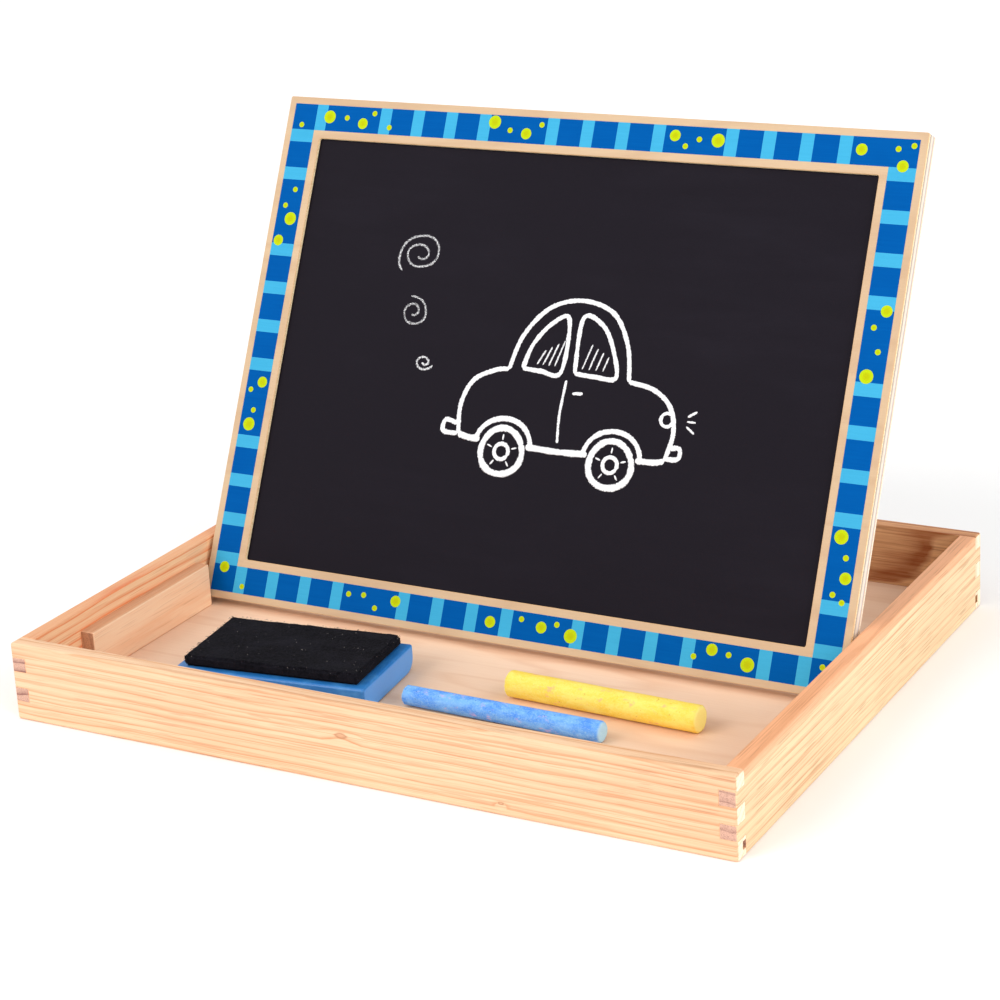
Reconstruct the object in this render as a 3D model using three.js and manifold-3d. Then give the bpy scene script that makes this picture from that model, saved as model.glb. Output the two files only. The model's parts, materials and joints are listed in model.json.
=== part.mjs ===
// A children's tabletop drawing-box easel. A shallow pine tray with finger-jointed corners carries a
// double-sided drawing board, which stands leaning back in a slot between two pairs of side cleats.
// A felt-faced eraser and two sticks of chalk lie loose on the tray's floor.
// Millimetres. +X is to the right, +Y to the back, +Z up. The origin is the middle of the tray's underside.

import * as THREE from 'three';
import Module from 'manifold-3d';
import { mergeVertices } from 'three/addons/utils/BufferGeometryUtils.js';
import { RoundedBoxGeometry } from 'three/addons/geometries/RoundedBoxGeometry.js';

// Tray
const TRAY_WIDTH = 300;
const TRAY_DEPTH = 240;
const TRAY_HEIGHT = 31.3;
const TRAY_EDGE_RADIUS = 1;
const TRAY_EDGE_STEPS = 4;
const WALL = 6.5;
// Heights at which the corner fingers change over, from the underside up. Odd bands belong to the
// side walls, even bands to the front and back walls.
const FINGER_LEVELS = [0, 7.6, 13.4, 19.8, 25.6, TRAY_HEIGHT];
const GROOVE_BOTTOM = 3;
const GROOVE_TOP = 6;
const GROOVE_DEPTH = 2.5;
const FLOOR_CLEARANCE = 0.05;

// Cleats
const CLEAT_THICKNESS = 6.4;
const CLEAT_TOP = 23.9;
const CLEAT_END_GAP = 27.5;

// Drawing board, from its front face to its back face
const BOARD_WIDTH = 283;
const BOARD_HEIGHT = 213;
const BOARD_CORNER_RADIUS = 0.8;
const FRAME_THICKNESS = 1.6;
const SHEET_THICKNESS = 1;
const CORE_THICKNESS = 1.8;
const GLUE_LINE = 0.1;
const FRAME_BORDER = 17.3;
const OPENING_CORNER_RADIUS = 0.8;
const BOARD_LEAN = THREE.MathUtils.degToRad(26.25);
const BOARD_FOOT_SETBACK = 112.4;
const BOARD_CLEARANCE = 0.3;
const CORNER_STEPS = 4;

// Eraser
const ERASER_LENGTH = 80;
const ERASER_WIDTH = 45;
const ERASER_BLOCK_HEIGHT = 10.5;
const ERASER_BELLY_RADIUS = 6;
const ERASER_TOP_RADIUS = 1;
const FELT_LENGTH = 73;
const FELT_WIDTH = 40;
const FELT_THICKNESS = 4.4;
const FELT_CORNER_RADIUS = 1.5;
const ERASER_CENTRE = { x: -61.5, y: -61 };
const ERASER_TURN = THREE.MathUtils.degToRad(7);

// Chalk
const CHALK_END_ROUNDING = 0.7;
const CHALK_SIDES = 32;
const CHALK_STICKS = {
  blue_chalk: { length: 83.5, thinEnd: 7.5, thickEnd: 8.1, x: 31.5, y: -64.6, turn: -1.2 },
  yellow_chalk: { length: 80, thinEnd: 10.1, thickEnd: 10.4, x: 62.3, y: -43.3, turn: -1.9 },
};
const RESTING_GAP = 0.1;

// Colour and roughness of each material
const FINISHES = {
  pine_front: [0xf2c99c, 0.6],
  pine_back: [0xe8bd90, 0.6],
  pine_left: [0xefb27c, 0.6],
  pine_right: [0xf7dfae, 0.6],
  pine_cleat: [0xf0be8c, 0.6],
  birch_ply: [0xf0cfa8, 0.65],
  core_ply: [0xe6cfa4, 0.7],
  printed_frame: [0x0b62b8, 0.45],
  chalkboard_paint: [0x29262e, 0.9],
  whiteboard_lacquer: [0xf4f5f6, 0.15],
  blue_paint: [0x2d78be, 0.4],
  black_felt: [0x17171b, 0.95],
  blue_chalk: [0x5a96eb, 0.95],
  yellow_chalk: [0xfadc46, 0.95],
};

// Worked out from the dimensions above
const HALF_WIDTH = TRAY_WIDTH / 2;
const HALF_DEPTH = TRAY_DEPTH / 2;
const INNER_X = HALF_WIDTH - WALL;
const INNER_Y = HALF_DEPTH - WALL;
const FLOOR_TOP = GROOVE_TOP - FLOOR_CLEARANCE;
const BOARD_THICKNESS = 2 * FRAME_THICKNESS + 2 * SHEET_THICKNESS + CORE_THICKNESS + 4 * GLUE_LINE;
// The board's foot line is its lower front edge. Its lower back edge stands on the floor.
const FOOT_Y = BOARD_FOOT_SETBACK - HALF_DEPTH;
const FOOT_Z = FLOOR_TOP + BOARD_CLEARANCE + BOARD_THICKNESS * Math.sin(BOARD_LEAN);
// The slot runs from just in front of the foot line to where the board's back meets the cleats' tops.
const SLOT_FRONT = FOOT_Y - BOARD_CLEARANCE;
const SLOT_BACK = FOOT_Y
  + (CLEAT_TOP - FOOT_Z) * Math.tan(BOARD_LEAN)
  + (BOARD_THICKNESS + BOARD_CLEARANCE) / Math.cos(BOARD_LEAN);

const manifoldLibrary = await Module();
manifoldLibrary.setup();

// A closed geometry as a solid that can be joined and cut.
function toSolid(geometry) {
  const bare = geometry.clone();
  bare.deleteAttribute('normal');
  bare.deleteAttribute('uv');
  const merged = mergeVertices(bare);
  const mesh = new manifoldLibrary.Mesh({
    numProp: 3,
    vertProperties: new Float32Array(merged.attributes.position.array),
    triVerts: new Uint32Array(merged.index.array),
  });
  return new manifoldLibrary.Manifold(mesh);
}

function toGeometry(solid) {
  const mesh = solid.getMesh();
  const geometry = new THREE.BufferGeometry();
  geometry.setAttribute('position', new THREE.BufferAttribute(mesh.vertProperties, 3));
  geometry.setIndex(new THREE.BufferAttribute(mesh.triVerts, 1));
  return geometry;
}

// A block given by its lowest and highest values along X, Y and Z.
function block([x0, x1], [y0, y1], [z0, z1]) {
  return new THREE.BoxGeometry(x1 - x0, y1 - y0, z1 - z0)
    .translate((x0 + x1) / 2, (y0 + y1) / 2, (z0 + z1) / 2);
}

// A rectangle with rounded corners, centred on x = 0 and standing on y = bottom.
function roundedOutline(path, width, height, bottom, radius) {
  const side = width / 2;
  const top = bottom + height;
  path.absarc(side - radius, bottom + radius, radius, -Math.PI / 2, 0);
  path.absarc(side - radius, top - radius, radius, 0, Math.PI / 2);
  path.absarc(radius - side, top - radius, radius, Math.PI / 2, Math.PI);
  path.absarc(radius - side, bottom + radius, radius, Math.PI, Math.PI * 1.5);
  path.closePath();
  return path;
}

function extrude(shape, depth) {
  return new THREE.ExtrudeGeometry(shape, { depth, bevelEnabled: false, curveSegments: CORNER_STEPS });
}

function part(name, geometry, finish) {
  const [color, roughness] = FINISHES[finish];
  const material = new THREE.MeshStandardMaterial({ color, roughness, metalness: 0 });
  const mesh = new THREE.Mesh(geometry, material);
  mesh.name = name;
  return mesh;
}

// The two bands of height in which the side walls' fingers reach through the front and back walls.
const SIDE_FINGER_BANDS = [
  [FINGER_LEVELS[1], FINGER_LEVELS[2]],
  [FINGER_LEVELS[3], FINGER_LEVELS[4]],
];

// The tray's whole outside as one block with softened edges, which trims every wall.
function trayEnvelope() {
  const whole = new RoundedBoxGeometry(
    TRAY_WIDTH, TRAY_DEPTH, TRAY_HEIGHT, TRAY_EDGE_STEPS, TRAY_EDGE_RADIUS);
  return toSolid(whole.translate(0, 0, TRAY_HEIGHT / 2));
}

// A front or back wall, full width. side is -1 at the front and 1 at the back.
function longWall(side) {
  const outer = side * HALF_DEPTH;
  const inner = side * INNER_Y;
  const spanY = [Math.min(outer, inner), Math.max(outer, inner)];
  let wall = toSolid(block([-HALF_WIDTH, HALF_WIDTH], spanY, [0, TRAY_HEIGHT]));
  for (const band of SIDE_FINGER_BANDS) {
    wall = wall.subtract(toSolid(block([-HALF_WIDTH, -INNER_X], spanY, band)));
    wall = wall.subtract(toSolid(block([INNER_X, HALF_WIDTH], spanY, band)));
  }
  const grooveEnd = side * (INNER_Y + GROOVE_DEPTH);
  const grooveY = [Math.min(inner, grooveEnd), Math.max(inner, grooveEnd)];
  wall = wall.subtract(toSolid(block([-HALF_WIDTH, HALF_WIDTH], grooveY, [GROOVE_BOTTOM, GROOVE_TOP])));
  return toGeometry(wall.intersect(trayEnvelope()));
}

// A left or right wall, whose fingers reach to the tray's front and back. side is -1 at the left.
function shortWall(side) {
  const outer = side * HALF_WIDTH;
  const inner = side * INNER_X;
  const spanX = [Math.min(outer, inner), Math.max(outer, inner)];
  let wall = toSolid(block(spanX, [-INNER_Y, INNER_Y], [0, TRAY_HEIGHT]));
  for (const band of SIDE_FINGER_BANDS) {
    wall = wall.add(toSolid(block(spanX, [-HALF_DEPTH, HALF_DEPTH], band)));
  }
  const grooveEnd = side * (INNER_X + GROOVE_DEPTH);
  const grooveX = [Math.min(inner, grooveEnd), Math.max(inner, grooveEnd)];
  wall = wall.subtract(toSolid(block(grooveX, [-INNER_Y, INNER_Y], [GROOVE_BOTTOM, GROOVE_TOP])));
  return toGeometry(wall.intersect(trayEnvelope()));
}

// A thin plywood sheet held in the grooves of all four walls.
function floorPanel() {
  const reachX = INNER_X + GROOVE_DEPTH - FLOOR_CLEARANCE;
  const reachY = INNER_Y + GROOVE_DEPTH - FLOOR_CLEARANCE;
  return block(
    [-reachX, reachX], [-reachY, reachY], [GROOVE_BOTTOM + FLOOR_CLEARANCE, FLOOR_TOP]);
}

// A ledge strip glued inside a side wall. side is -1 at the left.
function cleat(side, spanY) {
  const outer = side * INNER_X;
  const inner = side * (INNER_X - CLEAT_THICKNESS);
  return block([Math.min(outer, inner), Math.max(outer, inner)], spanY, [GROOVE_TOP, CLEAT_TOP]);
}

function tray() {
  const group = new THREE.Group();
  group.add(part('front_wall', longWall(-1), 'pine_front'));
  group.add(part('back_wall', longWall(1), 'pine_back'));
  group.add(part('left_wall', shortWall(-1), 'pine_left'));
  group.add(part('right_wall', shortWall(1), 'pine_right'));
  group.add(part('floor_panel', floorPanel(), 'birch_ply'));
  const frontSpan = [CLEAT_END_GAP - INNER_Y, SLOT_FRONT];
  const rearSpan = [SLOT_BACK, INNER_Y - CLEAT_END_GAP];
  for (const [name, side] of [['left', -1], ['right', 1]]) {
    group.add(part(`${name}_front_cleat`, cleat(side, frontSpan), 'pine_cleat'));
    group.add(part(`${name}_rear_cleat`, cleat(side, rearSpan), 'pine_cleat'));
  }
  return group;
}

// One layer of the board: a plate standing in the XZ plane, from y = front back through its thickness.
function boardLayer(front, thickness, border) {
  const shape = roundedOutline(new THREE.Shape(), BOARD_WIDTH, BOARD_HEIGHT, 0, BOARD_CORNER_RADIUS);
  if (border > 0) {
    const opening = new THREE.Path();
    const openWidth = BOARD_WIDTH - 2 * border;
    const openHeight = BOARD_HEIGHT - 2 * border;
    roundedOutline(opening, openWidth, openHeight, border, OPENING_CORNER_RADIUS);
    shape.holes.push(opening);
  }
  return extrude(shape, thickness).rotateX(Math.PI / 2).translate(0, front + thickness, 0);
}

function board() {
  const layers = [
    ['front_frame', FRAME_THICKNESS, FRAME_BORDER, 'printed_frame'],
    ['chalkboard_sheet', SHEET_THICKNESS, 0, 'chalkboard_paint'],
    ['core_panel', CORE_THICKNESS, 0, 'core_ply'],
    ['whiteboard_sheet', SHEET_THICKNESS, 0, 'whiteboard_lacquer'],
    ['back_frame', FRAME_THICKNESS, FRAME_BORDER, 'printed_frame'],
  ];
  const group = new THREE.Group();
  group.position.set(0, FOOT_Y, FOOT_Z);
  group.rotation.x = -BOARD_LEAN;
  let front = 0;
  for (const [name, thickness, border, finish] of layers) {
    group.add(part(name, boardLayer(front, thickness, border), finish));
    front += thickness + GLUE_LINE;
  }
  return group;
}

// The grip block: flat on top under the felt, with a rounded belly along both long edges.
function eraserBlock() {
  const half = ERASER_WIDTH / 2;
  const belly = ERASER_BELLY_RADIUS;
  const soft = ERASER_TOP_RADIUS;
  const shape = new THREE.Shape();
  shape.absarc(half - belly, belly, belly, -Math.PI / 2, 0);
  shape.absarc(half - soft, ERASER_BLOCK_HEIGHT - soft, soft, 0, Math.PI / 2);
  shape.absarc(soft - half, ERASER_BLOCK_HEIGHT - soft, soft, Math.PI / 2, Math.PI);
  shape.absarc(belly - half, belly, belly, Math.PI, Math.PI * 1.5);
  shape.closePath();
  return extrude(shape, ERASER_LENGTH)
    .rotateX(Math.PI / 2)
    .rotateZ(Math.PI / 2)
    .translate(-ERASER_LENGTH / 2, 0, 0);
}

function eraserFelt() {
  const outline = roundedOutline(
    new THREE.Shape(), FELT_LENGTH, FELT_WIDTH, -FELT_WIDTH / 2, FELT_CORNER_RADIUS);
  return extrude(outline, FELT_THICKNESS).translate(0, 0, ERASER_BLOCK_HEIGHT + GLUE_LINE);
}

function eraser() {
  const group = new THREE.Group();
  group.position.set(ERASER_CENTRE.x, ERASER_CENTRE.y, FLOOR_TOP + RESTING_GAP);
  group.rotation.z = ERASER_TURN;
  group.add(part('eraser_block', eraserBlock(), 'blue_paint'));
  group.add(part('eraser_felt', eraserFelt(), 'black_felt'));
  return group;
}

// A tapered round stick along X, its thin end at -X, with softened end edges.
function chalkStick(length, thinRadius, thickRadius) {
  const profile = new THREE.Path();
  const soft = CHALK_END_ROUNDING;
  const half = length / 2;
  profile.moveTo(0, -half);
  profile.lineTo(thinRadius - soft, -half);
  profile.absarc(thinRadius - soft, soft - half, soft, -Math.PI / 2, 0);
  profile.absarc(thickRadius - soft, half - soft, soft, 0, Math.PI / 2);
  profile.lineTo(0, half);
  return new THREE.LatheGeometry(profile.getPoints(CORNER_STEPS), CHALK_SIDES).rotateZ(-Math.PI / 2);
}

function chalk(name, stick) {
  const mesh = part(name, chalkStick(stick.length, stick.thinEnd / 2, stick.thickEnd / 2), name);
  mesh.position.set(stick.x, stick.y, FLOOR_TOP + RESTING_GAP + stick.thickEnd / 2);
  mesh.rotation.z = THREE.MathUtils.degToRad(stick.turn);
  return mesh;
}

const easel = new THREE.Group();
easel.add(tray());
easel.add(board());
easel.add(eraser());
for (const [name, stick] of Object.entries(CHALK_STICKS)) {
  easel.add(chalk(name, stick));
}

export default easel;
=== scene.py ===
"""Looks of the tabletop drawing-box easel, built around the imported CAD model.

Metres, +Z up, the front faces -Y. The wooden pieces are softened copies of their CAD nodes. The board's
pieces are built in the board's own plane: u to the right, v up the board, w from its front to its back.
"""
import json
import math
import random

import bmesh
import bpy
from mathutils import Matrix, Vector, noise


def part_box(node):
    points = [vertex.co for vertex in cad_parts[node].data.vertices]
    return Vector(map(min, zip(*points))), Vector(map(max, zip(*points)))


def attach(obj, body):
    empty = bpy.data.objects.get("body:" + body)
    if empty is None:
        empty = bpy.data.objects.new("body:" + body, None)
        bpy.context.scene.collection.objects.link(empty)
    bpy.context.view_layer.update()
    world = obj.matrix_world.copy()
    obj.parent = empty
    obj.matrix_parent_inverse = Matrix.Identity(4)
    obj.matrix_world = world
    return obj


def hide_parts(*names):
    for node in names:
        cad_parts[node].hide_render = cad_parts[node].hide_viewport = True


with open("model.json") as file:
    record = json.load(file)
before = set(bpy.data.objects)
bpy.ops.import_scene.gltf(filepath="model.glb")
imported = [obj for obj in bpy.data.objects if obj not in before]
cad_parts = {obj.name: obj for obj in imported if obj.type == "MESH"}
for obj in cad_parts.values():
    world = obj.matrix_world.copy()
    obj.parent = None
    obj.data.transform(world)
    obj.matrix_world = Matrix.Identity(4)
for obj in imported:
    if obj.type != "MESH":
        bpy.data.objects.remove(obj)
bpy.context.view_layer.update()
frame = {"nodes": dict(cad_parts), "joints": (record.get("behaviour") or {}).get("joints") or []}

MM = 0.001
# Vertices that are closer than this are one, and so are faces that meet at less than the angle.
WELD = 1e-6
FLAT_ANGLE = math.radians(1)

# Camera: the photograph's point of view.
CAMERA_PLACE = (0.4796, -0.8359, 0.4145)
CAMERA_AZIMUTH = math.radians(29.8)
CAMERA_PITCH = math.radians(17.68)
CAMERA_ROLL = math.radians(-3.21)
CAMERA_LENS = 95.7
CAMERA_SHIFT_Y = -0.1

# Radius of the softened edges: finger joints, cleats, the board's layers and the eraser's ends. Only edges
# sharper than the angle are softened.
JOINT_SOFTENING = 0.22 * MM
STRIP_SOFTENING = 0.5 * MM
PLATE_SOFTENING = 0.25 * MM
BLOCK_SOFTENING = 1.1 * MM
SOFTENED_ANGLE = math.radians(50)

# Printed border of the board, in millimetres from the board's edge.
PRINT_OUTER = 3.0
PRINT_INNER = 14.0
STRIPE_WIDTH = 5.3
STRIPES_ALONG_WIDTH = 16
STRIPES_ALONG_HEIGHT = 11
INK_HEIGHT = 0.05
DOT_HEIGHT = 0.04
DOT_SIDES = 28
LARGE, MIDDLE, SMALL = 5.5, 4.6, 2.3
# A left-out stripe makes room for a group of dots. Its number counts from the left or from the top. Each
# dot is its place along the border from the gap's middle, its distance from the board's edge, and its size.
DOT_GROUPS = {
    "top": {
        1: ((-11.5, 8, LARGE), (-3, 8, SMALL), (5, 10, MIDDLE), (10, 5.5, SMALL), (18, 11, SMALL)),
        6: ((-11, 6, LARGE), (-3.5, 9, SMALL), (4, 10, MIDDLE), (10.5, 6, SMALL)),
        11: ((-8.5, 7, MIDDLE), (-3.5, 11, SMALL), (2, 8, SMALL), (10, 8, LARGE)),
        16: ((-9, 8, MIDDLE), (5.5, 7, SMALL), (11.5, 5.5, SMALL)),
    },
    "bottom": {
        4: ((-10, 10, SMALL), (-3, 10.5, SMALL), (3, 6, SMALL), (12, 10, MIDDLE)),
        9: ((-22.5, 8, MIDDLE), (-9, 11, SMALL), (0, 9, MIDDLE), (6.5, 11, SMALL), (13, 7.5, LARGE)),
        14: ((-13, 7.5, SMALL), (-6, 11, MIDDLE), (1, 10, SMALL), (9, 7.5, LARGE)),
    },
    "left": {
        2: ((-9.5, 10, SMALL), (-2.5, 6.5, SMALL), (3, 10, LARGE), (12.5, 6, MIDDLE)),
        7: ((-9, 10.5, MIDDLE), (-5.5, 5.5, SMALL), (3, 8.5, SMALL), (9, 7.5, LARGE)),
    },
    "right": {
        4: ((-13.5, 6, MIDDLE), (-7, 10, SMALL), (2, 7, SMALL), (11.5, 10, LARGE)),
        9: ((-10, 10, LARGE), (-2.5, 7, SMALL), (5, 6, MIDDLE), (11.5, 10, SMALL), (14, 6, SMALL)),
    },
}
# Dots near the corners: corner, distance from the upright edge, distance from the level edge, size.
CORNER_DOTS = (
    ("top_left", 7.5, 12, SMALL), ("top_right", 8.5, 13.5, MIDDLE),
    ("bottom_left", 8, 13, MIDDLE), ("bottom_left", 18, 6, SMALL),
    ("bottom_right", 9.5, 11, SMALL), ("bottom_right", 6, 6, MIDDLE),
)

# How dark pine is across one year's growth, from its spring wood to its winter wood.
YEAR_PROFILE = (
    (0.0, 0.1), (0.12, 0.0), (0.5, 0.06), (0.74, 0.3), (0.87, 0.75), (0.92, 1.0), (0.96, 0.95), (1.0, 0.1))
# How dark a knot is from its middle to its rim, and how far the rings swerve round it, in knot radii.
KNOT_PROFILE = ((0.0, 0.35), (0.4, 0.5), (0.62, 0.85), (1.0, 0.0))
KNOT_SWERVE = 3.5

# Studio backdrop: its brightness near the floor and overhead, and the heights between which it changes, as
# the upward part of the direction looked in.
HORIZON_GLOW, SKY_GLOW = 1.05, 0.8
HORIZON_TOP, SKY_START = 0.26, 0.42

# Chalk drawing, in millimetres. A stroke is domed, lies a little off the board and is wider than drawn by
# its weight.
STROKE_STEP = 0.6
STROKE_HEIGHT = 0.12
STROKE_CLEARANCE = 0.02
STROKE_THICKNESS = 0.03
STROKE_WEIGHT = 1.25

# Felt: how fine its mesh is, its rounded corners, how deep its ragged rims reach, how far inside a rim and
# how high above its foot a loose fibre sits at the least, and the share of rim fibres on the long rims.
FELT_STEP = 0.8 * MM
FELT_LAYER = 1.0 * MM
FELT_CORNER = 1.0 * MM
FELT_RIM = 1.2 * MM
FIBRE_INSET = 0.3 * MM
FIBRE_FOOT = 1.0 * MM
LONG_RIM_SHARE = 0.6

# Chalk sticks: their mesh, their softened ends, how far from an end it chips and the slices at a stick's
# ends that give its direction and its thin end's radius.
CHALK_SIDES, CHALK_RINGS = 64, 110
CHALK_SOFTENING = 0.8 * MM
CHIPPED = 3 * MM
END_SLICE = 2 * MM
TIP_SLICE = 1.5 * MM


# ---------------------------------------------------------------- materials

def srgb(red, green, blue):
    """A colour given as 0 to 255 values, as Blender's linear colour."""
    def linear(value):
        value /= 255
        return value / 12.92 if value <= 0.04045 else ((value + 0.055) / 1.055) ** 2.4
    return (linear(red), linear(green), linear(blue), 1.0)


class Paint:
    """A material and short calls that add nodes to it."""

    def __init__(self, name):
        self.material = bpy.data.materials.new(name)
        self.material.use_nodes = True
        self.tree = self.material.node_tree
        self.shader = self.tree.nodes["Principled BSDF"]
        # The point on the piece, in millimetres in its own axes.
        here = self.node("ShaderNodeTexCoord").outputs["Object"]
        self.place = self.vector("MULTIPLY", here, (1000, 1000, 1000))

    def feed(self, socket, value):
        if isinstance(value, bpy.types.NodeSocket):
            self.tree.links.new(value, socket)
        else:
            socket.default_value = value

    def node(self, kind, *values, **settings):
        made = self.tree.nodes.new(kind)
        for key, value in settings.items():
            setattr(made, key, value)
        for index, value in enumerate(values):
            if value is not None:
                self.feed(made.inputs[index], value)
        return made

    def math(self, operation, *values, clamp=False):
        return self.node("ShaderNodeMath", *values, operation=operation, use_clamp=clamp).outputs[0]

    def vector(self, operation, *values):
        made = self.node("ShaderNodeVectorMath", *values, operation=operation)
        return made.outputs["Value" if operation in ("LENGTH", "DOT_PRODUCT") else "Vector"]

    def noise(self, scales, detail=3.0, rough=0.55, offset=0.0, colour=False):
        """Noise whose scales are in waves per millimetre, along each axis or the same along all."""
        scales = (scales,) * 3 if isinstance(scales, float) else scales
        spread = self.vector("MULTIPLY_ADD", self.place, scales, (offset, offset * 1.7, offset * 0.6))
        made = self.node("ShaderNodeTexNoise")
        self.feed(made.inputs["Vector"], spread)
        for key, value in (("Scale", 1.0), ("Detail", detail), ("Roughness", rough)):
            made.inputs[key].default_value = value
        return made.outputs[1 if colour else 0]

    def ramp(self, factor, stops):
        made = self.node("ShaderNodeValToRGB", factor)
        bar = made.color_ramp
        while len(bar.elements) < len(stops):
            bar.elements.new(0.5)
        for element, (position, colour) in zip(bar.elements, stops):
            element.position = position
            element.color = colour if hasattr(colour, "__len__") else (colour, colour, colour, 1)
        return made.outputs["Color"]

    def range(self, value, low, high, to_low=0.0, to_high=1.0):
        return self.node("ShaderNodeMapRange", value, low, high, to_low, to_high, clamp=True).outputs[0]

    def mix(self, factor, first, second, blend="MIX"):
        made = self.node("ShaderNodeMix", data_type="RGBA", blend_type=blend)
        self.feed(made.inputs[0], factor)
        self.feed(made.inputs[6], first)
        self.feed(made.inputs[7], second)
        return made.outputs[2]

    def veil(self, colour, value, low, high, tone, most=1.0):
        """A tone over a colour where value rises from low to high, covering at most the share most."""
        return self.mix(self.range(value, low, high, 0.0, most), colour, tone)

    def towards(self, axis):
        """1 where the surface looks along the piece's axis, 0 where it lies along it and -1 opposite."""
        normal = self.node("ShaderNodeTexCoord").outputs["Normal"]
        return self.vector("DOT_PRODUCT", normal, axis)

    def facing(self, axis):
        """1 where the surface looks along the piece's axis, either way, and 0 where it lies along it."""
        return self.math("ABSOLUTE", self.towards(axis))

    def upward(self):
        """1 where the surface looks up and 0 where it stands upright or looks down."""
        return self.range(self.towards((0, 0, 1)), 0.6, 0.95)

    def sawn_edge(self, face, tone, shade):
        """A sheet's colour with face on its broad sides, which look along Y, and where those are."""
        edge = self.mix(self.noise(0.8, offset=15), tone, shade)
        broad = self.range(self.facing((0, 1, 0)), 0.6, 0.9)
        return self.mix(broad, edge, face), broad

    def bump(self, height, depth_mm):
        made = self.node("ShaderNodeBump")
        made.inputs["Strength"].default_value = 1.0
        made.inputs["Distance"].default_value = depth_mm * MM
        self.feed(made.inputs["Height"], height)
        return made.outputs["Normal"]

    def finish(self, colour, roughness, normal=None, specular=0.5, sheen=0.0):
        self.feed(self.shader.inputs["Base Color"], colour)
        self.feed(self.shader.inputs["Roughness"], roughness)
        if normal is not None:
            self.feed(self.shader.inputs["Normal"], normal)
        self.shader.inputs["Specular IOR Level"].default_value = specular
        self.shader.inputs["Sheen Weight"].default_value = sheen
        return self.material


def darker(colour, share):
    return (*(channel * share for channel in colour[:3]), 1.0)


def unit(axis, value=1.0, other=0.0):
    """A vector with one value along an axis (0, 1 or 2) and another across it."""
    return tuple(value if index == axis else other for index in range(3))


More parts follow.
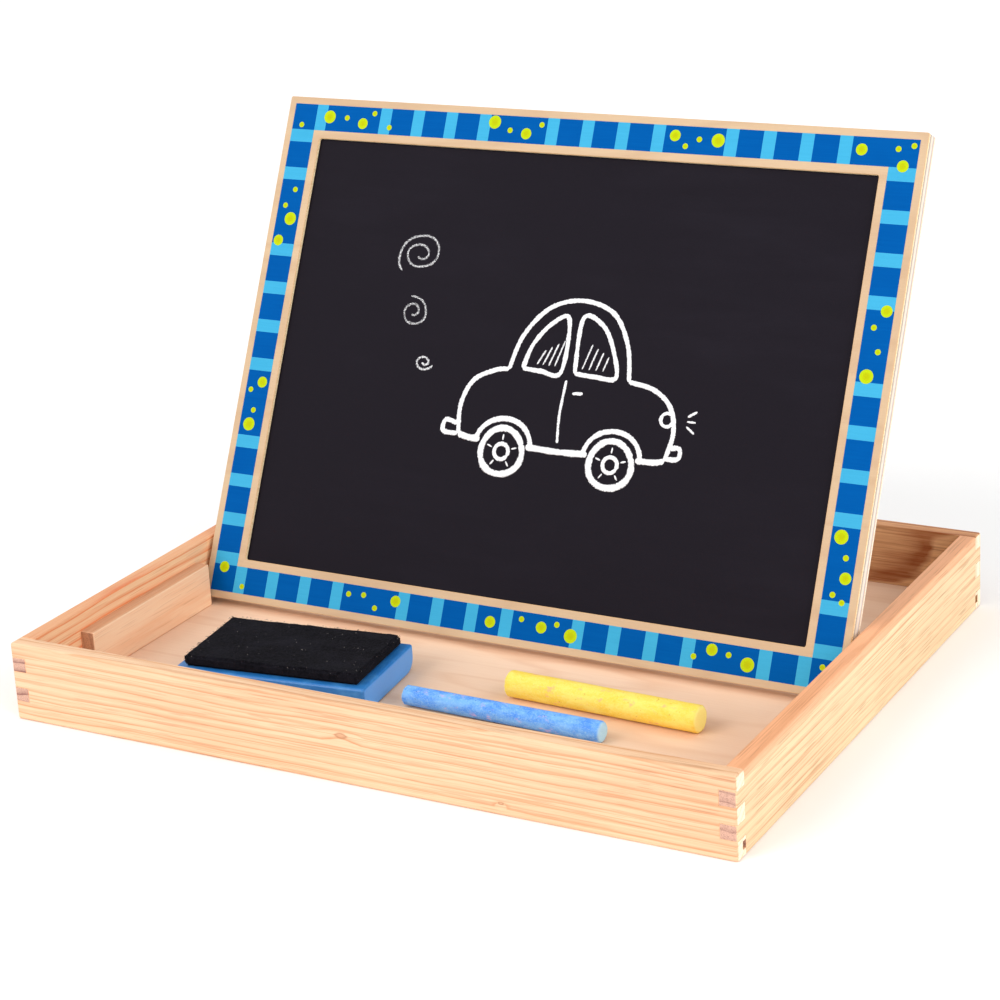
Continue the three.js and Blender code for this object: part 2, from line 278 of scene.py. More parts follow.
def pine(name, along, pith, spacing, tones, seed, wave=1.0, lines=1.0, dashes=0.5, threads=0.3,
         top_shading_tint=None, heart=None, knots=()):
    """Sawn pine. Its year rings run through the solid, so faces and end grain agree.

    along is the fibres' axis, pith a point on the tree's middle line and spacing the rings' spacing, both in
    millimetres. tones are early wood, late wood, and the same two on end grain. wave is how much the rings
    wander. lines, dashes and threads are how dark late wood, short resin ducts and long fine lines are.
    top_shading_tint tints the surfaces that look up: painted light and shade, for how the light falls on
    tops. heart is the heartwood's radius and tone. knots are small branches through the board: place
    along the fibres, height and radius.
    """
    early, late, end_early, end_late = tones
    paint = Paint(name)

    def grain(lengthwise, across, shift, **settings):
        """Noise that is drawn out along the fibres."""
        return paint.noise(unit(along, lengthwise, across), offset=seed + shift, **settings)

    bend = grain(0.005, 0.022, 0, detail=2.0, colour=True)
    bend = paint.vector("MULTIPLY_ADD", bend, (8 * wave,) * 3, (-4 * wave,) * 3)
    shiver = grain(0.035, 0.12, 3, detail=2.0, colour=True)
    bend = paint.vector("ADD", bend, paint.vector("MULTIPLY_ADD", shiver, (1.2,) * 3, (-0.6,) * 3))
    centred = paint.vector("SUBTRACT", paint.vector("ADD", paint.place, bend), pith)
    radius = paint.vector("LENGTH", paint.vector("MULTIPLY", centred, unit(along, 0.0, 1.0)))
    drift = grain(0.002, 0.05, 5, detail=1.0)
    rings = paint.math("ADD", paint.math("DIVIDE", radius, spacing), paint.math("MULTIPLY", drift, 1.4))
    reaches = []
    for along_place, height, size in knots:
        centre = (*unit(along, along_place, 0.0)[:2], height)
        scales = (*unit(along, 0.45 / size, 0.0)[:2], 1 / size)
        offset = paint.vector("MULTIPLY", paint.vector("SUBTRACT", paint.place, centre), scales)
        reaches.append(paint.vector("LENGTH", offset))
        rings = paint.math("ADD", rings, paint.range(reaches[-1], 0.0, KNOT_SWERVE, 0.6, 0.0))
    year = paint.math("FRACT", rings)
    band = paint.ramp(year, YEAR_PROFILE)
    coarse = grain(0.012, 0.3, 13)
    broken = grain(0.03, 0.9, 17, detail=4.0, rough=0.6)
    band = paint.math("MULTIPLY", band, paint.range(coarse, 0.3, 0.6, 0.65, 1.15))
    band = paint.math("MULTIPLY", band, paint.range(broken, 0.3, 0.6, 0.7 * lines, lines), clamp=True)
    fibre = grain(0.05, 3.2, 9, detail=4.0, rough=0.65)
    streak = grain(0.02, 1.1, 11, detail=4.0, rough=0.6)
    dash = grain(0.045, 1.7, 21, detail=1.0, rough=0.4)
    thread = grain(0.01, 1.3, 27, detail=2.0, rough=0.5)
    cloud = grain(0.008, 0.03, 25, detail=2.0)
    if heart:
        heart_radius, heart_tone = heart
        inside = paint.range(paint.math("SUBTRACT", radius, heart_radius), -0.5, 0.5, 1.0, 0.0)
        early = paint.mix(inside, early, heart_tone)
    face = paint.veil(early, cloud, 0.35, 0.7, late, 0.25)
    face = paint.veil(face, streak, 0.42, 0.75, late, 0.38)
    face = paint.mix(band, face, late)
    face = paint.veil(face, fibre, 0.42, 0.78, late, 0.35)
    face = paint.mix(paint.range(fibre, 0.22, 0.42, 0.28, 0.0), face, early)
    deep = darker(late, 0.7)
    crowd = paint.range(cloud, 0.35, 0.6, 0.45, 1.0)
    ducts = paint.math("MULTIPLY", paint.range(dash, 0.62, 0.67, 0.0, 0.8 * dashes), crowd)
    face = paint.mix(ducts, face, deep)
    face = paint.veil(face, thread, 0.6, 0.64, late, 0.8 * threads)
    for reach in reaches:
        ragged = paint.math("MULTIPLY_ADD", streak, 1.2, paint.math("SUBTRACT", reach, 0.6))
        face = paint.mix(paint.ramp(ragged, KNOT_PROFILE), face, deep)
    # Painted light and shade: surfaces that look up take the tint, for the weaker light that falls on tops.
    if top_shading_tint:
        face = paint.mix(paint.upward(), face, paint.mix(1.0, face, top_shading_tint, "MULTIPLY"))
    pore = paint.noise(2.2, rough=0.6, offset=seed + 30)
    end = paint.mix(band, end_early, end_late)
    end = paint.veil(end, pore, 0.48, 0.72, end_late, 0.75)
    end_share = paint.range(paint.facing(unit(along)), 0.75, 0.95)
    colour = paint.mix(end_share, face, end)
    relief = paint.math("ADD", paint.math("MULTIPLY", band, 0.4), fibre)
    roughness = paint.range(fibre, 0.2, 0.8, 0.46, 0.64)
    return paint.finish(colour, roughness, paint.bump(relief, 0.07), specular=0.25)


def peeled_birch(name, light, dark, edge_light, edge_dark, face_axis, seed):
    """Thin plywood with its face grain along X. face_axis is the axis that its broad faces look along. The
    rounded arris between face and edge is sanded through and darker."""
    paint = Paint(name)
    figure = paint.noise(unit(0, 0.007, 0.045), detail=2.0, offset=seed)
    bands = paint.math("PINGPONG", paint.math("MULTIPLY", figure, 9.0), 1.0)
    fibre = paint.noise(unit(0, 0.05, 2.4), detail=4.0, rough=0.6, offset=seed + 4)
    fleck = paint.noise(unit(0, 0.22, 1.9), detail=2.0, offset=seed + 8)
    patch = paint.noise(unit(0, 0.006, 0.018), detail=2.0, offset=seed + 12)
    face = paint.veil(light, bands, 0.55, 1.0, dark, 0.45)
    face = paint.veil(face, patch, 0.35, 0.7, dark, 0.4)
    face = paint.veil(face, fibre, 0.4, 0.8, dark, 0.3)
    face = paint.veil(face, fleck, 0.66, 0.78, dark, 0.45)
    edge = paint.veil(edge_light, fleck, 0.4, 0.7, edge_dark, 0.7)
    facing = paint.facing(unit(face_axis))
    colour = paint.veil(edge, facing, 0.6, 0.9, face)
    arris = paint.math("MULTIPLY", paint.range(facing, 0.1, 0.35), paint.range(facing, 0.75, 0.97, 1.0, 0.0))
    colour = paint.mix(paint.math("MULTIPLY", arris, 0.75), colour, edge_dark)
    normal = paint.bump(fibre, 0.05)
    return paint.finish(colour, paint.range(fibre, 0.2, 0.8, 0.48, 0.64), normal, specular=0.25)


def plain_edge(name, tone, shade, seed):
    """The sawn edge of a glued core: short crushed fibres, no figure."""
    paint = Paint(name)
    crush = paint.noise((0.5, 2.0, 0.5), detail=4.0, offset=seed)
    colour = paint.veil(tone, crush, 0.3, 0.75, shade)
    return paint.finish(colour, 0.7, paint.bump(crush, 0.08), specular=0.3)


def ink(name, tone, deep, seed):
    """Printing ink on sanded plywood: the grain shows faintly through it."""
    paint = Paint(name)
    grain = paint.noise((0.05, 0.5, 1.6), detail=4.0, rough=0.6, offset=seed)
    cloud = paint.noise(0.05, detail=2.0, offset=seed + 3)
    colour = paint.veil(tone, grain, 0.35, 0.8, deep, 0.45)
    colour = paint.veil(colour, cloud, 0.4, 0.7, deep, 0.25)
    normal = paint.bump(grain, 0.03)
    return paint.finish(colour, paint.range(grain, 0.2, 0.8, 0.4, 0.55), normal, specular=0.01)


def dot_ink(name):
    """Yellow-green dots, a little deeper in the middle, where the mesh attribute radial is 0. At the rim it
    is 1."""
    paint = Paint(name)
    radial = paint.node("ShaderNodeAttribute", attribute_name="radial").outputs["Fac"]
    colour = paint.ramp(radial, (
        (0.0, srgb(176, 180, 0)), (0.45, srgb(178, 186, 0)),
        (0.65, srgb(180, 200, 4)), (1.0, srgb(178, 200, 16))))
    grain = paint.noise((0.06, 0.5, 1.8))
    colour = paint.veil(colour, grain, 0.45, 0.8, srgb(168, 172, 6), 0.25)
    return paint.finish(colour, 0.45, paint.bump(grain, 0.03), specular=0.04)


def chalkboard_paint(name):
    """Matte charcoal paint on hardboard, with faint wiped chalk haze. Its sawn edges are grey-brown."""
    paint = Paint(name)
    haze = paint.noise((0.012, 0.012, 0.02), detail=5.0, rough=0.6, offset=2)
    wipe = paint.noise((0.02, 0.1, 0.11), detail=4.0, offset=7)
    tooth = paint.noise(3.0, detail=2.0, offset=11)
    haze = paint.math("MULTIPLY", paint.range(haze, 0.42, 0.75), paint.range(wipe, 0.35, 0.7))
    colour = paint.mix(paint.math("MULTIPLY", haze, 0.16), srgb(23, 19, 27), srgb(60, 57, 66))
    colour = paint.veil(colour, tooth, 0.45, 0.75, srgb(31, 27, 35), 0.3)
    colour, _ = paint.sawn_edge(colour, srgb(206, 190, 182), srgb(176, 160, 152))
    roughness = paint.range(haze, 0.0, 1.0, 0.7, 0.85)
    return paint.finish(colour, roughness, paint.bump(tooth, 0.04), specular=0.08)


def whiteboard_lacquer(name):
    """Glossy white lacquer with a very slight ripple and faint wiped marks. Its sawn edges are brownish."""
    paint = Paint(name)
    ripple = paint.noise(0.05, detail=2.0, offset=3)
    wipe = paint.noise((0.018, 0.1, 0.09), detail=5.0, rough=0.6, offset=8)
    face = paint.veil(srgb(244, 246, 248), wipe, 0.5, 0.75, srgb(228, 232, 237), 0.5)
    colour, broad = paint.sawn_edge(face, srgb(206, 190, 188), srgb(182, 166, 164))
    roughness = paint.mix(broad, (0.7, 0.7, 0.7, 1), paint.ramp(wipe, ((0.3, 0.09), (0.8, 0.2))))
    return paint.finish(colour, roughness, paint.bump(ripple, 0.12))


def chalk_marks(name):
    """Chalk rubbed on the board: dense white in the middle of a stroke and broken up at its rims, where the
    board's tooth shows through. The mesh attribute across is 0 in the middle and 1 at a rim, and cover is
    the share of the board that the stroke covers."""
    paint = Paint(name)
    across = paint.node("ShaderNodeAttribute", attribute_name="across").outputs["Fac"]
    cover = paint.node("ShaderNodeAttribute", attribute_name="cover").outputs["Fac"]
    tooth = paint.noise(2.6, rough=0.65)
    thinned = paint.math("SUBTRACT", cover, paint.math("MULTIPLY", paint.math("POWER", across, 3.0), 0.42))
    shown = paint.range(paint.math("ADD", paint.math("SUBTRACT", tooth, 0.5), thinned), 0.42, 0.56)
    tone = paint.veil(srgb(222, 222, 226), tooth, 0.4, 0.7, srgb(250, 250, 252))
    colour = paint.mix(shown, srgb(38, 35, 42), tone)
    return paint.finish(colour, 0.95, paint.bump(tooth, 0.12), specular=0.15)


def eraser_paint(name):
    """Satin blue paint on a wooden block, rubbed a little lighter in places."""
    paint = Paint(name)
    grain = paint.noise(unit(0, 0.05, 1.2), detail=4.0, offset=4)
    rub = paint.noise((0.12, 0.12, 0.2), detail=5.0, rough=0.65, offset=9)
    colour = paint.veil(srgb(38, 116, 190), rub, 0.45, 0.75, srgb(72, 146, 212))
    colour = paint.veil(colour, grain, 0.55, 0.8, srgb(30, 98, 170), 0.4)
    # Painted highlight: the block's ends are a lighter blue, for the light that they catch.
    colour = paint.mix(paint.range(paint.facing((1, 0, 0)), 0.8, 0.97, 0.0, 0.75), colour, srgb(96, 166, 242))
    normal = paint.bump(grain, 0.05)
    return paint.finish(colour, paint.range(rub, 0.3, 0.8, 0.32, 0.5), normal)


def felt(name):
    """Black pressed felt with grey lint in it."""
    paint = Paint(name)
    matted = paint.noise(0.9, detail=5.0, rough=0.7, offset=1)
    fibre = paint.noise((3.0, 0.8, 2.0), detail=4.0, rough=0.7, offset=6)
    lint = paint.noise((1.6, 2.0, 1.7), rough=0.6, offset=14)
    worn = paint.noise((0.06, 0.09, 0.1), offset=19)
    colour = paint.veil(srgb(7, 7, 11), matted, 0.38, 0.66, srgb(27, 26, 33))
    colour = paint.veil(colour, fibre, 0.5, 0.75, srgb(38, 37, 46), 0.5)
    colour = paint.veil(colour, worn, 0.45, 0.7, srgb(40, 39, 48), 0.35)
    colour = paint.veil(colour, lint, 0.7, 0.76, srgb(96, 92, 98), 0.3)
    relief = paint.math("ADD", matted, paint.math("MULTIPLY", fibre, 0.6))
    return paint.finish(colour, 0.96, paint.bump(relief, 0.6), specular=0.03, sheen=0.02)


def fibre_tone(name, tone, pale):
    """Loose fibres and lint, from dark to pale."""
    paint = Paint(name)
    streak = paint.noise(1.0, detail=2.0)
    colour = paint.veil(tone, streak, 0.35, 0.65, pale)
    return paint.finish(colour, 0.9, specular=0.15)


def chalk_powder(name, tone, deep, pale, end, speck, seed):
    """Moulded chalk: mottled powder, rubbed patches, dark pin holes, a few tinted smudges and pale ends. The
    ends are partly pale powder and partly painted light on the end faces.
    """
    paint = Paint(name)
    cloud = paint.noise((0.12, 0.26, 0.26), detail=5.0, rough=0.65, offset=seed)
    grain = paint.noise((1.4, 1.8, 1.8), detail=5.0, rough=0.7, offset=seed + 4)
    smudge = paint.noise((0.16, 0.3, 0.3), detail=5.0, rough=0.65, offset=seed + 9)
    pit = paint.noise((0.8, 0.9, 0.9), detail=2.0, rough=0.5, offset=seed + 15)
    colour = paint.veil(deep, cloud, 0.4, 0.6, tone)
    colour = paint.veil(colour, grain, 0.48, 0.72, pale, 0.6)
    colour = paint.veil(colour, smudge, 0.6, 0.68, speck, 0.7)
    colour = paint.veil(colour, pit, 0.69, 0.73, darker(deep, 0.55), 0.6)
    # The ends: pale powder, brightened further as painted light on the end faces.
    broken = paint.veil(end, grain, 0.4, 0.65, pale)
    colour = paint.mix(paint.range(paint.facing((1, 0, 0)), 0.4, 0.9), colour, broken)
    relief = paint.math("ADD", grain, paint.math("MULTIPLY", cloud, 1.5))
    return paint.finish(colour, 0.97, paint.bump(relief, 0.2), specular=0.12)


# ---------------------------------------------------------------- meshes

def add_object(name, data):
    made = bpy.data.objects.new(name, data)
    bpy.context.scene.collection.objects.link(made)
    return made


def mesh_from(bm, name, sharp_angle=40.0, smooth=True):
    mesh = bpy.data.meshes.new(name)
    for face in bm.faces:
        face.smooth = smooth
    bm.to_mesh(mesh)
    bm.free()
    if smooth:
        mesh.set_sharp_from_angle(angle=math.radians(sharp_angle))
    return mesh


def add_piece(bm, name, body, slot, materials, matrix=None, **shading):
    """A piece of a body, made from bm in the axes of matrix. shading is what mesh_from takes."""
    mesh = mesh_from(bm, name, **shading)
    for material in materials:
        mesh.materials.append(material)
    piece = add_object(name, mesh)
    if matrix is not None:
        piece.matrix_world = matrix
    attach(piece, body)
    return piece


def bridge(bm, rings, capped=False):
    """Faces between closed rings of vertices, and over the first and the last one if capped."""
    count = len(rings[0])
    for first, second in zip(rings, rings[1:]):
        for index in range(count):
            after = (index + 1) % count
            bm.faces.new((first[index], first[after], second[after], second[index]))
    if capped:
        bm.faces.new(rings[0])
        bm.faces.new(list(reversed(rings[-1])))


def fan(bm, middle, ring):
    """Faces from a vertex to a closed ring of vertices."""
    for vert, after in zip(ring, ring[1:] + ring[:1]):
        bm.faces.new((middle, vert, after))


def soften(piece, width, segments=2):
    """Rounds a piece's edges and keeps its flat faces flat in shading."""
    bevel = piece.modifiers.new("soft_edges", "BEVEL")
    bevel.width = width
    bevel.segments = segments
    bevel.limit_method = "ANGLE"
    bevel.angle_limit = SOFTENED_ANGLE
    level = piece.modifiers.new("flat_faces", "WEIGHTED_NORMAL")
    level.weight = 100
    level.keep_sharp = True


def cad_copy(node, name, body, slot, material, softening, matrix=None):
    """A CAD node's own shape as one clean mesh with softened edges, in the axes of matrix."""
    bm = bmesh.new()
    bm.from_mesh(frame["nodes"][node].data)
    bmesh.ops.remove_doubles(bm, verts=bm.verts, dist=WELD)
    bmesh.ops.dissolve_limit(bm, angle_limit=FLAT_ANGLE, verts=bm.verts, edges=bm.edges)
    if matrix is not None:
        bm.transform(matrix.inverted())
    piece = add_piece(bm, name, body, slot, [material], matrix)
    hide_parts(node)
    soften(piece, softening)


def in_axes(node, matrix):
    """Lowest and highest corner of a CAD node in the axes of matrix."""
    inverse = matrix.inverted()
    points = [inverse @ v.co for v in frame["nodes"][node].data.vertices]
    low = Vector([min(p[i] for p in points) for i in range(3)])
    high = Vector([max(p[i] for p in points) for i in range(3)])
    return low, high


# ---------------------------------------------------------------- tray

def make_tray():
    """Walls, floor and cleats. Each is cut from a board of its own, with its own rings."""
    pale_end, dark_end = srgb(255, 240, 214), srgb(232, 200, 160)
    brown_end, umber_end = srgb(212, 168, 148), srgb(140, 96, 86)
    front = (srgb(243, 203, 167), srgb(210, 146, 104), pale_end, dark_end)
    # The back wall's tones are partly its own darker wood and partly painted shade, for the shadow that the
    # board casts in the back of the tray.
    back = (srgb(240, 192, 142), srgb(150, 82, 40), pale_end, dark_end)
    # The left wall's tones are partly its own orange wood and partly lightened as painted light on its inner
    # face.
    left = (srgb(255, 220, 176), srgb(240, 148, 96), brown_end, umber_end)
    right = (srgb(245, 223, 180), srgb(216, 158, 116), brown_end, umber_end)
    walls = (
        ("front_wall", "pine_front", pine(
            "pine_front_wall", 0, (0, -180, 120), 2.9, front, 1.0, wave=1.25, lines=0.9, dashes=0.6,
            threads=0.6, top_shading_tint=srgb(259, 267, 267), knots=((-3, 18.8, 1.3), (61, 4.7, 0.6)))),
        ("back_wall", "pine_front", pine(
            "pine_back_wall", 0, (0, 260, 30), 4.4, back, 17.0, wave=1.6, top_shading_tint=srgb(252, 236, 226),
            knots=((-52, 20, 1.6),))),
        ("left_wall", "pine_side", pine(
            "pine_left_wall", 1, (-170, 0, 140), 3.8, left, 33.0, wave=2.2, lines=1.2,
            top_shading_tint=srgb(232, 214, 206), knots=((48, 13, 1.2),))),
        ("right_wall", "pine_side", pine(
            "pine_right_wall", 1, (164, 0, 150), 3.4, right, 49.0, wave=0.45, lines=0.6, dashes=0.7,
            threads=0.9, top_shading_tint=srgb(255, 246, 240), heart=(122.8, srgb(246, 188, 146)))),
    )
    for node, slot, material in walls:
        cad_copy(node, node + "_sanded", "tray", slot, material, JOINT_SOFTENING)
    floor = peeled_birch(
        "birch_floor", srgb(250, 216, 188), srgb(230, 184, 150),
        srgb(236, 210, 170), srgb(176, 132, 92), 2, 3.0)
    cad_copy("floor_panel", "floor_panel_sanded", "tray", "birch_ply", floor, JOINT_SOFTENING)
    # The cleats' tones are partly their own pale wood and partly lightened as painted light.
    strip = (srgb(255, 220, 184), srgb(246, 184, 140), srgb(206, 160, 128), srgb(160, 114, 88))
    for index, (side, where) in enumerate((a, b) for a in ("left", "right") for b in ("front", "rear")):
        node = f"{side}_{where}_cleat"
        pith = (60 if side == "left" else -60, 0, 30 + 9 * index)
        material = pine(
            "pine_" + node, 1, pith, 4.2, strip, 61.0 + 7 * index, wave=0.8, lines=0.6,
            top_shading_tint=srgb(222, 206, 198))
        cad_copy(node, node + "_sanded", "tray", "pine_cleat", material, STRIP_SOFTENING)


# ---------------------------------------------------------------- board

def board_matrix():
    """The board's axes: origin in the middle of its lower front edge, X right, Y back, Z up the board."""
    joint = next(j for j in frame["joints"] if j["child"] == "board")
    up = Vector(joint["axis"]).normalized()
    right = Vector((1, 0, 0))
    back = up.cross(right)
    turn = Matrix((right, back, up)).transposed().to_4x4()
    low, high = in_axes("front_frame", turn)
    origin = turn @ Vector(((low.x + high.x) / 2, low.y, low.z))
    return Matrix.Translation(origin) @ turn


def stripe_starts(side, width, height):
    """Where light stripes may begin along a side of the board: evenly spaced between its corners."""
    level = side in ("top", "bottom")
    length, count = (width, STRIPES_ALONG_WIDTH) if level else (height, STRIPES_ALONG_HEIGHT)
    pitch = (length - 2 * PRINT_INNER - STRIPE_WIDTH) / count
    return [PRINT_INNER + pitch * index for index in range(count + 1)]


def border_place(side, along, inwards, width, height):
    """u and v of a point, given along its side from the left or the top, and inwards from the edge."""
    if side in ("top", "bottom"):
        return along - width / 2, height - inwards if side == "top" else inwards
    return inwards - width / 2 if side == "left" else width / 2 - inwards, height - along


def add_stripes(bm, side, width, height):
    """A side's printed band, as tiles of deep and light blue. The corners belong to the level sides."""
    starts = stripe_starts(side, width, height)
    lights = [start for index, start in enumerate(starts) if index not in DOT_GROUPS[side]]
    splits = [PRINT_INNER, height - PRINT_INNER]
    if side in ("top", "bottom"):
        splits = [PRINT_OUTER, PRINT_INNER, width - PRINT_INNER, width - PRINT_OUTER]
    splits += [*lights, *(start + STRIPE_WIDTH for start in lights)]
    marks = sorted({round(split, 4) for split in splits})
    for low, high in zip(marks, marks[1:]):
        corners = ((low, PRINT_OUTER), (high, PRINT_OUTER), (high, PRINT_INNER), (low, PRINT_INNER))
        places = [border_place(side, *corner, width, height) for corner in corners]
        face = bm.faces.new([bm.verts.new((u * MM, 0, v * MM)) for u, v in places])
        middle = (low + high) / 2
        face.material_index = int(any(start < middle < start + STRIPE_WIDTH for start in lights))


def add_dot(bm, layer, u, v, diameter):
    """A disc with rings, which carries how far each point is from its middle."""
    middle = bm.verts.new((u * MM, 0, v * MM))
    middle[layer] = 0.0
    rings = []
    for share in (0.5, 0.8, 1.0):
        radius = diameter / 2 * share
        ring = []
        for index in range(DOT_SIDES):
            angle = 2 * math.pi * index / DOT_SIDES
            place = ((u + radius * math.cos(angle)) * MM, 0, (v + radius * math.sin(angle)) * MM)
            ring.append(bm.verts.new(place))
            ring[-1][layer] = share
        rings.append(ring)
    fan(bm, middle, rings[0])
    bridge(bm, rings)


def dot_places(width, height):
    """Centre and diameter of every dot, with u from the middle and v from the foot, in millimetres."""
    found = []
    for side, groups in DOT_GROUPS.items():
        starts = stripe_starts(side, width, height)
        for index, dots in groups.items():
            centre = starts[index] + STRIPE_WIDTH / 2
            for along, inwards, diameter in dots:
                found.append((*border_place(side, centre + along, inwards, width, height), diameter))
    for corner, across, down, diameter in CORNER_DOTS:
        u = across - width / 2 if "left" in corner else width / 2 - across
        found.append((u, down if "bottom" in corner else height - down, diameter))
    return found


def look_outward(bm, outward):
    """Turns every face to the front of the board, where outward is -1, or to its back, where it is 1."""
    for face in bm.faces:
        face.normal_update()
        if face.normal.y * outward < 0:
            face.normal_flip()


def printed_sheet(name, bm, matrix, depth, outward, thickness, materials):
    """A thin layer of ink lying on a face of the board."""
    bmesh.ops.remove_doubles(bm, verts=bm.verts, dist=WELD)
    look_outward(bm, outward)
    bm.transform(Matrix.Translation((0, depth, 0)))
    piece = add_piece(bm, name, "board", "printed_frame", materials, matrix, smooth=False)
    thick = piece.modifiers.new("ink", "SOLIDIFY")
    thick.thickness = thickness * MM
    thick.offset = 1.0


def print_border(label, matrix, width, height, depth, outward, inks):
    """The striped border with its dots, on one face of the board."""
    bm = bmesh.new()
    for side in DOT_GROUPS:
        add_stripes(bm, side, width, height)
    printed_sheet(
        f"{label}_stripes", bm, matrix, depth, outward, INK_HEIGHT, [inks["deep"], inks["light"]])
    bm = bmesh.new()
    layer = bm.verts.layers.float.new("radial")
    for u, v, diameter in dot_places(width, height):
        add_dot(bm, layer, u, v, diameter)
    lift = outward * INK_HEIGHT * MM
    printed_sheet(f"{label}_dots", bm, matrix, depth + lift, outward, DOT_HEIGHT, [inks["dots"]])


def make_board(matrix):
    low, high = in_axes("front_frame", matrix)
    width = (high.x - low.x) / MM
    height = (high.z - low.z) / MM
    back = in_axes("back_frame", matrix)[1].y
    front_ply = peeled_birch(
        "birch_front_frame", srgb(201, 173, 140), srgb(184, 150, 118),
        srgb(250, 232, 192), srgb(206, 156, 104), 1, 23.0)
    back_ply = peeled_birch(
        "birch_back_frame", srgb(214, 190, 154), srgb(198, 168, 132),
        srgb(250, 240, 224), srgb(214, 180, 140), 1, 29.0)
    core = plain_edge("core_wood", srgb(240, 228, 212), srgb(220, 204, 186), 5.0)
    layers = (
        ("front_frame", "front_frame_ply", "printed_frame", front_ply),
        ("chalkboard_sheet", "chalkboard_panel", "chalkboard_paint", chalkboard_paint("chalkboard")),
        ("core_panel", "core_sheet", "birch_ply", core),
        ("whiteboard_sheet", "whiteboard_panel", "whiteboard_lacquer", whiteboard_lacquer("whiteboard")),
        ("back_frame", "back_frame_ply", "printed_frame", back_ply),
    )
    for node, name, slot, material in layers:
        cad_copy(node, name, "board", slot, material, PLATE_SOFTENING, matrix)
    inks = {
        "deep": ink("deep_blue_ink", srgb(0, 84, 158), srgb(0, 72, 144), 2.0),
        "light": ink("light_blue_ink", srgb(64, 165, 206), srgb(54, 152, 194), 6.0),
        "dots": dot_ink("dot_ink"),
    }
    print_border("front", matrix, width, height, 0.0, -1, inks)
    print_border("back", matrix, width, height, back, 1, inks)


# ---------------------------------------------------------------- chalk drawing

def smooth_path(points):
    """A Catmull-Rom curve through given points, at even steps."""
    path = []
    wrap = [points[0], *points, points[-1]]
    for a, b, c, d in zip(wrap, wrap[1:], wrap[2:], wrap[3:]):
        steps = max(2, int(math.dist(b, c) / STROKE_STEP))
        for index in range(steps):
            t = index / steps
            path.append(tuple(
                0.5 * (2 * q + (r - p) * t + (2 * p - 5 * q + 4 * r - s) * t * t
                       + (3 * q - p - 3 * r + s) * t ** 3)
                for p, q, r, s in zip(a, b, c, d)))
    path.append(tuple(points[-1]))
    return path


def add_stroke(bm, layers, path, width, share):
    """A ribbon of chalk along a path, thinner at its ends and a little uneven in width. It stores the place
    across it, and the share of the board that it covers."""
    across, cover = layers
    lanes = (-1.0, -0.6, 0.0, 0.6, 1.0)
    rows = []
    count = len(path)
    for index, (u, v) in enumerate(path):
        before, after = path[max(0, index - 1)], path[min(count - 1, index + 1)]
        du, dv = after[0] - before[0], after[1] - before[1]
        length = math.hypot(du, dv) or 1.0
        side = (-dv / length, du / length)
        wobble = noise.noise(Vector((u * 0.3, v * 0.3, width))) * 0.22
        jitter = noise.noise(Vector((u * 1.6, v * 1.6, 4.0))) * 0.16
        taper = min(1.0, 0.45 + 0.35 * min(index, count - 1 - index))
        half = width / 2 * taper * (1 + wobble + jitter)
        row = []
        for lane in lanes:
            height = STROKE_HEIGHT * (1 - lane * lane) + STROKE_CLEARANCE
            vert = bm.verts.new((
                (u + side[0] * half * lane) * MM, -height * MM, (v + side[1] * half * lane) * MM))
            vert[across] = abs(lane)
            vert[cover] = share
            row.append(vert)
        rows.append(row)
    for first, second in zip(rows, rows[1:]):
        for lane in range(len(lanes) - 1):
            bm.faces.new((first[lane], first[lane + 1], second[lane + 1], second[lane]))


def arc(u, v, radius, start, end, steps=24, wobble=0.0):
    """Points on an arc, in degrees, drawn by an unsteady hand."""
    points = []
    for index in range(steps + 1):
        angle = math.radians(start + (end - start) * index / steps)
        reach = radius * (1 + wobble * math.sin(angle * 3 + radius))
        points.append((u + reach * math.cos(angle), v + reach * math.sin(angle)))
    return points


def spiral(u, v, radius, turns, steps=30, start=0.0):
    """A puff of smoke: a spiral that opens out as it goes round."""
    points = []
    for index in range(steps + 1):
        share = index / steps
        angle = math.radians(start) + 2 * math.pi * turns * share
        unsteady = 1 + 0.08 * math.sin(1.7 * angle + radius) + 0.02 * math.sin(4.3 * angle)
        reach = radius * (0.18 + 0.82 * share) * unsteady
        points.append((u + reach * math.cos(angle), v + 0.86 * reach * math.sin(angle)))
    return points


